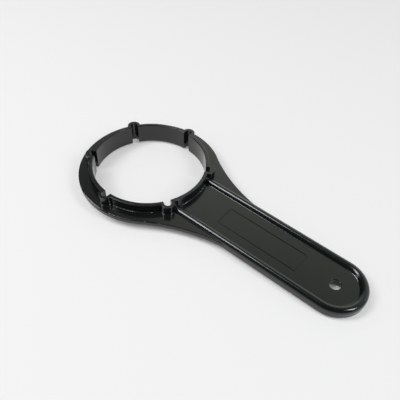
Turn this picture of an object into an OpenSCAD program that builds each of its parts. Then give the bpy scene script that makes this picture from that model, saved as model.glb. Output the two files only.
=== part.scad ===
// Filter housing wrench moulded in one piece
// Origin: centre of the ring bore, on the plane of the ring's underside
// Ring axis along +Z, handle along +X

/* [Ring] */
// Inside diameter of the ring
ring_bore = 90; // [84:0.5:104]
// Thickness of the ring wall
ring_wall = 2.9; // [2.5:0.1:4]
// Height of the ring wall
ring_height = 17.3; // [16.4:0.1:22]
// Rounding of the ring's upper and lower edges
ring_edge = 0.5; // [0.3:0.1:0.9]

/* [Grooves] */
// Number of upright grooves inside the ring
groove_count = 6; // [4:2:8]
// Width of a groove
groove_width = 5.6; // [4.6:0.1:6.6]
// Depth of a groove, from the bore to its rounded end
groove_depth = 5.5; // [4.5:0.1:6.5]
// Thickness of the wall bulging round a groove
boss_wall = 2.5; // [2:0.1:3]

/* [Plate] */
// Reach of the flange beyond the ring wall
flange_reach = 9; // [7.6:0.2:12]
// Thickness of the flange and of the handle's web
plate_thick = 4.1; // [3.4:0.1:4.6]
// Height of the underside of the flange and web
plate_bottom = 6; // [5.4:0.1:6.6]
// Rounding of the flange's outer edge
plate_edge = 0.7; // [0.6:0.1:1.5]
// Radius of the hollow flares from flange to handle
flare_radius = 140; // [110:5:150]
// Radius of the fillets at the foot of walls and rims
foot_fillet = 0.8; // [0.6:0.1:1.2]

/* [Handle] */
// Distance from the ring's centre to the centre of the handle's round end
handle_reach = 169.2; // [150:0.2:210]
// Width of the handle across its rims
handle_width = 44.8; // [42:0.1:48]
// Thickness of the rim round the handle
rim_width = 6.1; // [5:0.1:6.8]
// Height of the rim's underside above the ring's
rim_bottom = 3.4; // [2.8:0.1:4]
// Height of the rim, from underside to crest
rim_height = 9.5; // [8.6:0.1:10]
// Radius with which a rim turns up into the ring wall
rim_rise = 3; // [2.4:0.1:3.6]
// Diameter of the hanging hole
hole_diameter = 8; // [6:0.5:12]
// Distance of the hanging hole from the centre of the round end, towards the ring
hole_inset = 0; // [0:0.1:4]
// Rounding of the hanging hole's edges
hole_edge = 0.4; // [0.2:0.1:0.8]

/* [Panel] */
// Length of the raised border on the web
panel_length = 67; // [50:1:80]
// Width of the raised border on the web
panel_width = 17.4; // [10:0.2:20]
// Width of the border's line
panel_line = 0.8; // [0.6:0.1:1.4]
// Height of the border above the web
panel_rise = 0.4; // [0.2:0.1:0.6]

/* [Hidden] */
$fn = 96;
bore_r = ring_bore / 2;
wall_r = bore_r + ring_wall;
flange_r = wall_r + flange_reach;
groove_r = groove_width / 2;
groove_at = bore_r + groove_depth - groove_r;
boss_r = groove_r + boss_wall;
plate_top = plate_bottom + plate_thick;
rim_r = rim_width / 2;
rim_y = handle_width / 2 - rim_r;
rim_top = rim_bottom + rim_height;
crest_z = rim_top - rim_r;
under_z = rim_bottom + rim_r;
// The flare touches the flange's edge and runs out inside the rim
flare_y = rim_y + rim_r - 1.5;
flare_x = sqrt(pow(flange_r + flare_radius, 2) - pow(flare_y + flare_radius, 2));
flare_turn = atan2(flare_y + flare_radius, flare_x);
// Where a rim leaves the ring: crest just inside the wall's outer face
rise_x = sqrt(pow(wall_r, 2) - pow(rim_y, 2)) - 0.8 + rim_rise;
panel_x = handle_reach * 0.647;
sink = 0.03;
black = [0.06, 0.06, 0.065];

// Hollow corner fillet in the quarter x > 0, y > 0, reaching a little into both sides
module corner_fillet(r) {
  difference() {
    translate([-0.4, -0.4]) square(r - sink + 0.4);
    translate([r - sink, r - sink]) circle(r);
  }
}

// What a rounded convex edge loses at the upper right corner of a shape that ends at the origin
module edge_loss(r) {
  difference() {
    translate([-r, -r]) square(r + 1);
    translate([-r, -r]) circle(r);
  }
}

// Upright bar from x = 0 to its rounded outer corners
module post_profile(w, h, e) {
  square([w - e, h]);
  translate([0, e]) square([w, h - 2 * e]);
  translate([w - e, e]) circle(e);
  translate([w - e, h - e]) circle(e);
}

// Fillets at the foot of an upright face, above and below the plate
module foot_fillets(r) {
  translate([0, plate_top]) corner_fillet(r);
  translate([0, plate_bottom]) mirror([0, 1]) corner_fillet(r);
}

// Ring wall with the root of the flange in one turned section
module ring_body() {
  rotate_extrude() {
    translate([bore_r - 1, 0]) post_profile(ring_wall + 1, ring_height, ring_edge);
    translate([bore_r, plate_bottom]) square([ring_wall + flange_reach / 2, plate_thick]);
    translate([wall_r, 0]) foot_fillets(foot_fillet);
  }
}

// Bulge of the wall round one groove, its edges a little sharper than the wall's
module boss() {
  translate([groove_at, 0, 0]) rotate_extrude() {
    post_profile(boss_r, ring_height, ring_edge * 0.8);
    translate([boss_r, 0]) foot_fillets(foot_fillet * 0.8);
  }
}

// Opening of the ring with its rounded edges
module bore_cut() {
  rotate_extrude() {
    translate([0, -1]) square([bore_r, ring_height + 2]);
    translate([bore_r, ring_height]) mirror([1, 0]) edge_loss(ring_edge);
    translate([bore_r, 0]) mirror([1, 0]) mirror([0, 1]) edge_loss(ring_edge);
  }
}

// One groove, from inside the bore to its rounded end
module groove_cut() {
  translate([groove_at, 0, -1]) cylinder(r = groove_r, h = ring_height + 2);
  translate([bore_r - 2, -groove_r, -1]) cube([groove_at - bore_r + 2, groove_width, ring_height + 2]);
}

// Plate of flange and wings, drawn in from its outline by the rounding of its edge
module plate_core() {
  tip = [flange_r * cos(flare_turn), flange_r * sin(flare_turn)];
  translate([0, 0, plate_bottom]) linear_extrude(plate_thick) difference() {
    union() {
      circle(flange_r - plate_edge - 0.1);
      polygon([tip, [flare_x, flare_y], [flare_x, -flare_y], [tip[0], -tip[1]]]);
    }
    translate([flare_x, flare_y + flare_radius]) circle(flare_radius + plate_edge + 0.4);
    translate([flare_x, -flare_y - flare_radius]) circle(flare_radius + plate_edge + 0.4);
  }
}

// Section of the plate's rounded edge, a hair thinner than the plate it closes
module edge_profile() {
  translate([0, plate_bottom + 0.02]) post_profile(plate_edge + 0.5, plate_thick - 0.04, plate_edge);
}

// Rounded edge of the flange, as far as the flares
module flange_edge() {
  rotate([0, 0, flare_turn]) rotate_extrude(angle = 360 - 2 * flare_turn)
    translate([flange_r - plate_edge - 0.5, 0]) edge_profile();
}

// Rounded edge of the flare on the +Y side, running out inside the rim
module flare_edge() {
  translate([flare_x, flare_y + flare_radius, 0]) rotate([0, 0, flare_turn - 180])
    rotate_extrude(angle = 90 - flare_turn)
      translate([flare_radius + plate_edge + 0.5, 0]) mirror([1, 0]) edge_profile();
}

// Flat web of the handle, out to the middle of its rim
module web() {
  translate([0, 0, plate_bottom]) linear_extrude(plate_thick) {
    translate([bore_r * 0.8, -rim_y]) square([handle_reach - bore_r * 0.8, 2 * rim_y]);
    translate([handle_reach, 0]) circle(rim_y);
  }
}

// Rim section: an upright bar with round crest and round underside
module rim_bead() {
  translate([-rim_r, under_z]) square([rim_width, crest_z - under_z]);
  translate([0, under_z]) circle(rim_r);
  translate([0, crest_z]) circle(rim_r);
}

// Fillet from a face at height 0 to the rim's round flank, with the flank's centre at that height
module flank_fillet(centre) {
  x = sqrt(pow(rim_r + foot_fillet, 2) - pow(max(0, foot_fillet - centre), 2));
  base = -plate_thick * 0.4;
  difference() {
    polygon([[0, centre], [-x, foot_fillet], [-x, base], [0, base]]);
    translate([-x, foot_fillet]) circle(foot_fillet + sink);
  }
}

// Fillets from the rim's inner flank to the web, above and below
module rim_fillets() {
  translate([0, plate_top]) flank_fillet(crest_z - plate_top);
  translate([0, plate_bottom]) mirror([0, 1]) flank_fillet(plate_bottom - under_z);
}

// Straight rim on the +Y side, turning up into the ring wall
module side_rim() {
  translate([rise_x, rim_y, 0]) rotate([90, 0, 90]) linear_extrude(handle_reach - rise_x) {
    rim_bead();
    rim_fillets();
  }
  translate([rise_x, rim_y, rim_top + rim_rise]) rotate([90, 0, 0]) rotate([0, 0, 180])
    rotate_extrude(angle = 90) translate([rim_top + rim_rise, 0]) rotate(90) rim_bead();
}

// Rim round the end of the handle
module end_rim() {
  translate([handle_reach, 0, 0]) rotate([0, 0, -90]) rotate_extrude(angle = 180)
    translate([rim_y, 0]) {
      rim_bead();
      rim_fillets();
    }
}

// Hanging hole with rounded edges
module hole_cut() {
  translate([handle_reach - hole_inset, 0, 0]) rotate_extrude() {
    translate([0, plate_bottom - 1]) square([hole_diameter / 2, plate_thick + 2]);
    translate([hole_diameter / 2, plate_top]) mirror([1, 0]) edge_loss(hole_edge);
    translate([hole_diameter / 2, plate_bottom]) mirror([1, 0]) mirror([0, 1]) edge_loss(hole_edge);
  }
}

// Plain raised border on the web
module panel() {
  translate([panel_x, 0, plate_top - 0.3]) linear_extrude(panel_rise + 0.3) difference() {
    square([panel_length, panel_width], center = true);
    square([panel_length - 2 * panel_line, panel_width - 2 * panel_line], center = true);
  }
}

module wrench() {
  color(black) difference() {
    union() {
      ring_body();
      for (i = [0 : groove_count - 1]) rotate([0, 0, (i + 0.5) * 360 / groove_count]) boss();
      plate_core();
      flange_edge();
      flare_edge();
      mirror([0, 1, 0]) flare_edge();
      web();
      side_rim();
      mirror([0, 1, 0]) side_rim();
      end_rim();
      panel();
    }
    bore_cut();
    for (i = [0 : groove_count - 1]) rotate([0, 0, (i + 0.5) * 360 / groove_count]) groove_cut();
    hole_cut();
  }
}

wrench();
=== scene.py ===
import math

import bpy
from mathutils import Matrix, Vector

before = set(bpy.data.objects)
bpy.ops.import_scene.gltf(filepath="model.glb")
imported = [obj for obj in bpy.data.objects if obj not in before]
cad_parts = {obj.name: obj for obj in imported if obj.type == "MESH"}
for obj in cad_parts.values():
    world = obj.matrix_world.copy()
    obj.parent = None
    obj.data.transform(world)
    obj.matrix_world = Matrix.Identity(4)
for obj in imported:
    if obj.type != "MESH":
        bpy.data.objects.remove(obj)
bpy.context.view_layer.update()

MM = 0.001
WHITE = (1.0, 1.0, 1.0, 1.0)

# Camera, in millimetres and degrees about the wrench
LOOK_AT = Vector((47.136, 7.121, 0.0))
CAMERA_DISTANCE = 379.844
CAMERA_BEARING = -52.316
CAMERA_ELEVATION = 47.288
CAMERA_ROLL = 2.673
CAMERA_LENS = 43.153
CAMERA_SENSOR = 36.0
CAMERA_NEAR = 10.0
# As a share of the picture's width
CAMERA_SHIFT = -0.00125

# Plastic noises: scale per metre, detail and roughness
FLOW_NOISE = (34.0, 3.0, 0.5)
RIPPLE_NOISE = (240.0, 1.0, 0.5)
GRAIN_NOISE = (2600.0, 2.0, 0.5)
SPECK_NOISE = (1300.0, 0.0, 0.5)
RUB_NOISE = (420.0, 4.0, 0.65)
# Scratches run lengthwise, so their scale lies in the stretch of the axes
SCRATCH_NOISE = (1.0, 3.0, 0.6)
SCRATCH_STRETCH = (60.0, 1900.0, 1900.0)

# Noise values between which each mark comes in
FLOW_STEP = (0.3, 0.7)
SCRATCH_STEP = (0.66, 0.74)
SPECK_STEP = (0.80, 0.84)
RUB_STEP = (0.42, 0.62)

# Heights between which rubbing comes in, and its share
CREST_STEP = (12.4 * MM, 12.9 * MM)
CREST_RUB = 0.4
RING_TOP_STEP = (16.9 * MM, 17.3 * MM)
RING_TOP_RUB = 0.6

# Plastic colours, and the dust that specks and rubbed places hold
DEEP_BLACK = (0.0051, 0.0058, 0.0055, 1.0)
PALE_BLACK = (0.0069, 0.0077, 0.0073, 1.0)
DUST = (0.060, 0.060, 0.058, 1.0)
SPECK_DUST = 0.2
RUB_DUST = 0.03

# Roughness of the polished plastic, and what each mark adds
POLISH = 0.11
FLOW_ROUGHNESS = 0.05
GRAIN_ROUGHNESS = 0.02
SCRATCH_ROUGHNESS = 0.08
RUB_ROUGHNESS = 0.06
SPECK_ROUGHNESS = 0.1
PLASTIC_IOR = 1.5

# Bumps: strength, and height in metres
GRAIN_BUMP = (0.03, 0.00006)
RIPPLE_BUMP = (0.02, 0.00030)

# The wrench rests on the ring's edge below the handle and on the rim at the handle's end,
# in millimetres
RING_FOOT = Vector((47.4, 0.0, 0.0))
RIM_FOOT = Vector((188.55, 0.0, 3.4))

# Floor in metres, and for each kind of ray the share of its open parts that is even white,
# and that white
FLOOR_SIZE = 8.0
FLOOR_COLOUR = (0.825, 0.81, 0.795, 1.0)
FLOOR_LIFTS = [
    ("Is Camera Ray", 0.42, (0.885, 0.885, 0.885, 1.0)),
    ("Is Glossy Ray", 0.6, WHITE),
]
# How far in metres the wrench shelters the floor, and the openness between which it counts
SHELTER_REACH = 0.03
SHELTER_SAMPLES = 16
SHELTER_STEP = (0.05, 0.5)

# Even light from all sides, and what the camera sees past the floor
AMBIENT = 0.36
HORIZON = 0.88

# What reflections show, by bearing: from, to and softness of the ends in degrees
SCREEN_SPAN = (90, 135, 1.5)
SIDE_SPAN = (40, 90, 1.5)
EDGE_SPAN = (135, 150, 1.5)
RIGHT_SPAN = (4, 40, 4)
# Their strength low down, how much it drops and the elevations between which it does
SCREEN_STRENGTH = 1.15
SCREEN_DROP = 0.76
SCREEN_FADE = (34, 62)
SIDE_SHARE = 0.85
EDGE_STRENGTH = 0.6
EDGE_DROP = 0.40
EDGE_FADE = (38, 43)
RIGHT_STRENGTH = 0.4
ROOM_STRENGTH = 0.06
# All of them darken overhead, apart from a round glow at a bearing and an elevation
OVERHEAD_DROP = 0.75
OVERHEAD_FADE = (58, 68)
GLOW_PLACE = (207, 69)
GLOW_TIGHTNESS = 60.0
GLOW_STRENGTH = 1.4
BACKDROP_TINT = (1.01, 1.045, 0.93, 1.0)
ROOM_TINT = (0.82, 1.00, 1.11, 1.0)

# Lamps: name, bearing and elevation in degrees, width and height in metres, radiance, tint
COOL = (0.975, 1.0, 1.024)
COOLER = (0.940, 1.0, 1.047)
LAMPS = [
    ("key_lamp", 212, 66, 0.36, 0.36, 11.0, COOL),
    ("left_lamp", 222, 48, 0.42, 0.50, 14.0, COOL),
    ("right_lamp", 8, 45, 0.19, 0.64, 20.0, COOLER),
    ("low_lamp", 220, 11, 0.28, 0.36, 5.0, COOL),
]
LAMP_TARGET = Vector((0.09, 0.0, 0.0))
LAMP_DISTANCE = 1.5

# Sockets of a colour Mix node, whose names also stand for other types of value
MIX_FIRST = 6
MIX_SECOND = 7
MIX_RESULT = 2


def direction(bearing, elevation):
    """Unit vector towards a bearing from +X and an elevation, both in degrees."""
    b = math.radians(bearing)
    e = math.radians(elevation)
    return Vector((math.cos(b) * math.cos(e), math.sin(b) * math.cos(e), math.sin(e)))


def add_camera():
    """Camera at the photograph's angle."""
    back = direction(CAMERA_BEARING, CAMERA_ELEVATION)
    right = Vector((0, 0, 1)).cross(back).normalized()
    up = back.cross(right)
    roll = math.radians(CAMERA_ROLL)
    level = right * math.cos(roll) + up * math.sin(roll)
    upright = up * math.cos(roll) - right * math.sin(roll)
    eye = (LOOK_AT + back * CAMERA_DISTANCE) * MM
    data = bpy.data.cameras.new("photo_camera")
    data.sensor_width = CAMERA_SENSOR
    data.lens = CAMERA_LENS
    data.shift_y = CAMERA_SHIFT
    data.clip_start = CAMERA_NEAR * MM
    camera = bpy.data.objects.new("photo_camera", data)
    bpy.context.scene.collection.objects.link(camera)
    turn = Matrix((level, upright, back)).transposed().to_4x4()
    camera.matrix_world = Matrix.Translation(eye) @ turn
    bpy.context.scene.camera = camera


class Value:
    """An output socket of a node tree. Arithmetic on it adds Math nodes."""

    def __init__(self, tree, socket):
        self.tree = tree
        self.socket = socket

    def math(self, operation, *terms):
        node = self.tree.add("ShaderNodeMath", {"operation": operation}, dict(enumerate(terms)))
        return self.tree.value(node)

    def __add__(self, other):
        return self.math("ADD", self, other)

    def __radd__(self, other):
        return self.math("ADD", other, self)

    def __sub__(self, other):
        return self.math("SUBTRACT", self, other)

    def __rsub__(self, other):
        return self.math("SUBTRACT", other, self)

    def __mul__(self, other):
        return self.math("MULTIPLY", self, other)

    def __rmul__(self, other):
        return self.math("MULTIPLY", other, self)

    def __pow__(self, other):
        return self.math("POWER", self, other)

    def __rpow__(self, other):
        return self.math("POWER", other, self)

    def at_least(self, other):
        return self.math("MAXIMUM", self, other)

    def step_up(self, low, high):
        """0 below low, 1 above high, smooth between."""
        settings = {"interpolation_type": "SMOOTHSTEP"}
        sockets = {"Value": self, "From Min": low, "From Max": high}
        return self.tree.value(self.tree.add("ShaderNodeMapRange", settings, sockets), "Result")


class Tree:
    """Node tree of a material or the world."""

    def __init__(self, owner):
        owner.use_nodes = True
        self.nodes = owner.node_tree.nodes
        self.links = owner.node_tree.links
        self.nodes.clear()

    def add(self, kind, settings, sockets):
        """A node of that kind: its settings first, then values or links for its inputs."""
        node = self.nodes.new(kind)
        for name, value in settings.items():
            setattr(node, name, value)
        for name, value in sockets.items():
            if isinstance(value, Value):
                self.links.new(value.socket, node.inputs[name])
            else:
                node.inputs[name].default_value = value
        return node

    def value(self, node, output=0):
        return Value(self, node.outputs[output])

    def noise(self, place, scale, detail, roughness):
        sockets = {"Vector": place, "Scale": scale, "Detail": detail, "Roughness": roughness}
        return self.value(self.add("ShaderNodeTexNoise", {}, sockets), "Fac")

    def stretched(self, place, scale):
        return self.value(self.add("ShaderNodeMapping", {}, {"Vector": place, "Scale": scale}))

    def mix_colour(self, share, first, second):
        sockets = {"Factor": share, MIX_FIRST: first, MIX_SECOND: second}
        return self.value(self.add("ShaderNodeMix", {"data_type": "RGBA"}, sockets), MIX_RESULT)

    def bump(self, height, strength, distance, sockets):
        """A Bump node, with any further sockets."""
        own = {"Strength": strength, "Distance": distance, "Height": height}
        return self.value(self.add("ShaderNodeBump", {}, own | sockets))


def gloss_plastic():
    """Black polished plastic with slow ripple, grain, scratches, specks and rubbed crests."""
    material = bpy.data.materials.new("black_gloss_plastic")
    tree = Tree(material)
    coordinates = tree.add("ShaderNodeTexCoord", {}, {})
    place = tree.value(coordinates, "Object")
    axes = tree.add("ShaderNodeSeparateXYZ", {}, {0: place})
    height = tree.value(axes, "Z")

    flow = tree.noise(place, *FLOW_NOISE)
    ripple = tree.noise(place, *RIPPLE_NOISE)
    grain = tree.noise(place, *GRAIN_NOISE)
    lengthwise = tree.stretched(place, SCRATCH_STRETCH)
    scratch = tree.noise(lengthwise, *SCRATCH_NOISE).step_up(*SCRATCH_STEP)
    speck = tree.noise(place, *SPECK_NOISE).step_up(*SPECK_STEP)

    crest = height.step_up(*CREST_STEP)
    ring_top = height.step_up(*RING_TOP_STEP)
    patches = tree.noise(place, *RUB_NOISE).step_up(*RUB_STEP)
    rubbed = (crest * CREST_RUB + ring_top * RING_TOP_RUB) * patches

    colour = tree.mix_colour(flow.step_up(*FLOW_STEP), DEEP_BLACK, PALE_BLACK)
    colour = tree.mix_colour(speck * SPECK_DUST + rubbed * RUB_DUST, colour, DUST)
    roughness = (
        POLISH
        + flow * FLOW_ROUGHNESS
        + grain * GRAIN_ROUGHNESS
        + scratch * SCRATCH_ROUGHNESS
        + rubbed * RUB_ROUGHNESS
        + speck * SPECK_ROUGHNESS
    )

    fine = tree.bump(grain, *GRAIN_BUMP, {})
    normal = tree.bump(ripple, *RIPPLE_BUMP, {"Normal": fine})
    shader = tree.add(
        "ShaderNodeBsdfPrincipled",
        {},
        {"Base Color": colour, "Roughness": roughness, "IOR": PLASTIC_IOR, "Normal": normal},
    )
    tree.add("ShaderNodeOutputMaterial", {}, {"Surface": tree.value(shader)})
    return material


def pale_floor():
    """Matt white floor, lifted towards even white in some rays where it isn't sheltered."""
    material = bpy.data.materials.new("pale_floor")
    tree = Tree(material)
    path = tree.add("ShaderNodeLightPath", {}, {})
    settings = {"samples": SHELTER_SAMPLES}
    shelter = tree.add("ShaderNodeAmbientOcclusion", settings, {"Distance": SHELTER_REACH})
    open_sky = tree.value(shelter, "AO").step_up(*SHELTER_STEP)
    floor = tree.value(tree.add("ShaderNodeBsdfDiffuse", {}, {"Color": FLOOR_COLOUR}))
    for ray, share, colour in FLOOR_LIFTS:
        even = tree.add("ShaderNodeEmission", {}, {"Color": colour, "Strength": 1.0})
        factor = tree.value(path, ray) * open_sky * share
        mix = tree.add("ShaderNodeMixShader", {}, {0: factor, 1: floor, 2: tree.value(even)})
        floor = tree.value(mix)
    tree.add("ShaderNodeOutputMaterial", {}, {"Surface": floor})
    return material


def add_floor():
    """Floor through the two places where the wrench rests."""
    bpy.ops.object.select_all(action="DESELECT")
    rise = RIM_FOOT - RING_FOOT
    tip = math.atan2(rise.z, rise.x)
    bpy.ops.mesh.primitive_plane_add(
        size=FLOOR_SIZE, location=RING_FOOT * MM, rotation=(0, -tip, 0)
    )
    floor = bpy.context.active_object
    floor.name = "floor"
    floor.data.materials.append(pale_floor())


def add_softbox(name, bearing, elevation, width, height, radiance, tint):
    """Flat lamp of that radiance, facing the middle of the wrench. Lengths in metres."""
    data = bpy.data.lights.new(name, "AREA")
    data.shape = "RECTANGLE"
    data.size = width
    data.size_y = height
    data.energy = radiance * math.pi * width * height
    data.color = tint
    lamp = bpy.data.objects.new(name, data)
    bpy.context.scene.collection.objects.link(lamp)
    away = direction(bearing, elevation)
    lamp.rotation_euler = away.to_track_quat("Z", "Y").to_euler()
    lamp.location = LAMP_TARGET + away * LAMP_DISTANCE


def past(angle, low, high):
    """0 where the angle is below low, 1 above high, smooth between. Degrees."""
    return angle.step_up(math.radians(low), math.radians(high))


def between(angle, low, high, soft):
    """1 where the angle lies between low and high, with soft ends. Degrees."""
    return past(angle, low - soft, low + soft) - past(angle, high - soft, high + soft)


def reflections(tree):
    """Strength of what reflections show: the white backdrop, and the dim room with its glow."""
    coordinates = tree.add("ShaderNodeTexCoord", {}, {})
    axes = tree.add("ShaderNodeSeparateXYZ", {}, {0: tree.value(coordinates, "Generated")})
    x, y, z = (tree.value(axes, i) for i in range(3))
    bearing = y.math("ARCTAN2", y, x)
    elevation = z.math("ARCSINE", z)

    fade = SCREEN_STRENGTH - past(elevation, *SCREEN_FADE) * SCREEN_DROP
    screen = between(bearing, *SCREEN_SPAN) * fade
    side = between(bearing, *SIDE_SPAN) * fade * SIDE_SHARE
    edge_fade = EDGE_STRENGTH - past(elevation, *EDGE_FADE) * EDGE_DROP
    edge = between(bearing, *EDGE_SPAN) * edge_fade
    right_side = between(bearing, *RIGHT_SPAN) * RIGHT_STRENGTH
    upper = 1.0 - past(elevation, *OVERHEAD_FADE) * OVERHEAD_DROP

    centre = direction(*GLOW_PLACE)
    nearness = (x * centre.x + y * centre.y + z * centre.z).at_least(0.0)
    glow = nearness ** GLOW_TIGHTNESS * GLOW_STRENGTH
    backdrop = (screen + edge) * upper
    room = (ROOM_STRENGTH + right_side + side) * upper + glow
    return backdrop, room


def add_studio():
    """Even soft light all round, what only reflections see, and the lamps."""
    world = bpy.data.worlds.new("studio")
    bpy.context.scene.world = world
    tree = Tree(world)
    path = tree.add("ShaderNodeLightPath", {}, {})
    glossy = tree.value(path, "Is Glossy Ray")
    camera = tree.value(path, "Is Camera Ray")
    backdrop, room = reflections(tree)
    parts = [
        (BACKDROP_TINT, glossy * backdrop),
        (ROOM_TINT, glossy * room),
        (WHITE, (1.0 - glossy - camera) * AMBIENT + camera * HORIZON),
    ]
    total = None
    for colour, strength in parts:
        node = tree.add("ShaderNodeBackground", {}, {"Color": colour, "Strength": strength})
        light = tree.value(node)
        if total:
            light = tree.value(tree.add("ShaderNodeAddShader", {}, {0: total, 1: light}))
        total = light
    tree.add("ShaderNodeOutputWorld", {}, {"Surface": total})
    for lamp in LAMPS:
        add_softbox(*lamp)


add_camera()
add_floor()
add_studio()

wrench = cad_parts["wrench"]
finish = gloss_plastic()
for slot in wrench.material_slots:
    slot.material = finish

bpy.context.scene.view_settings.view_transform = "Standard"
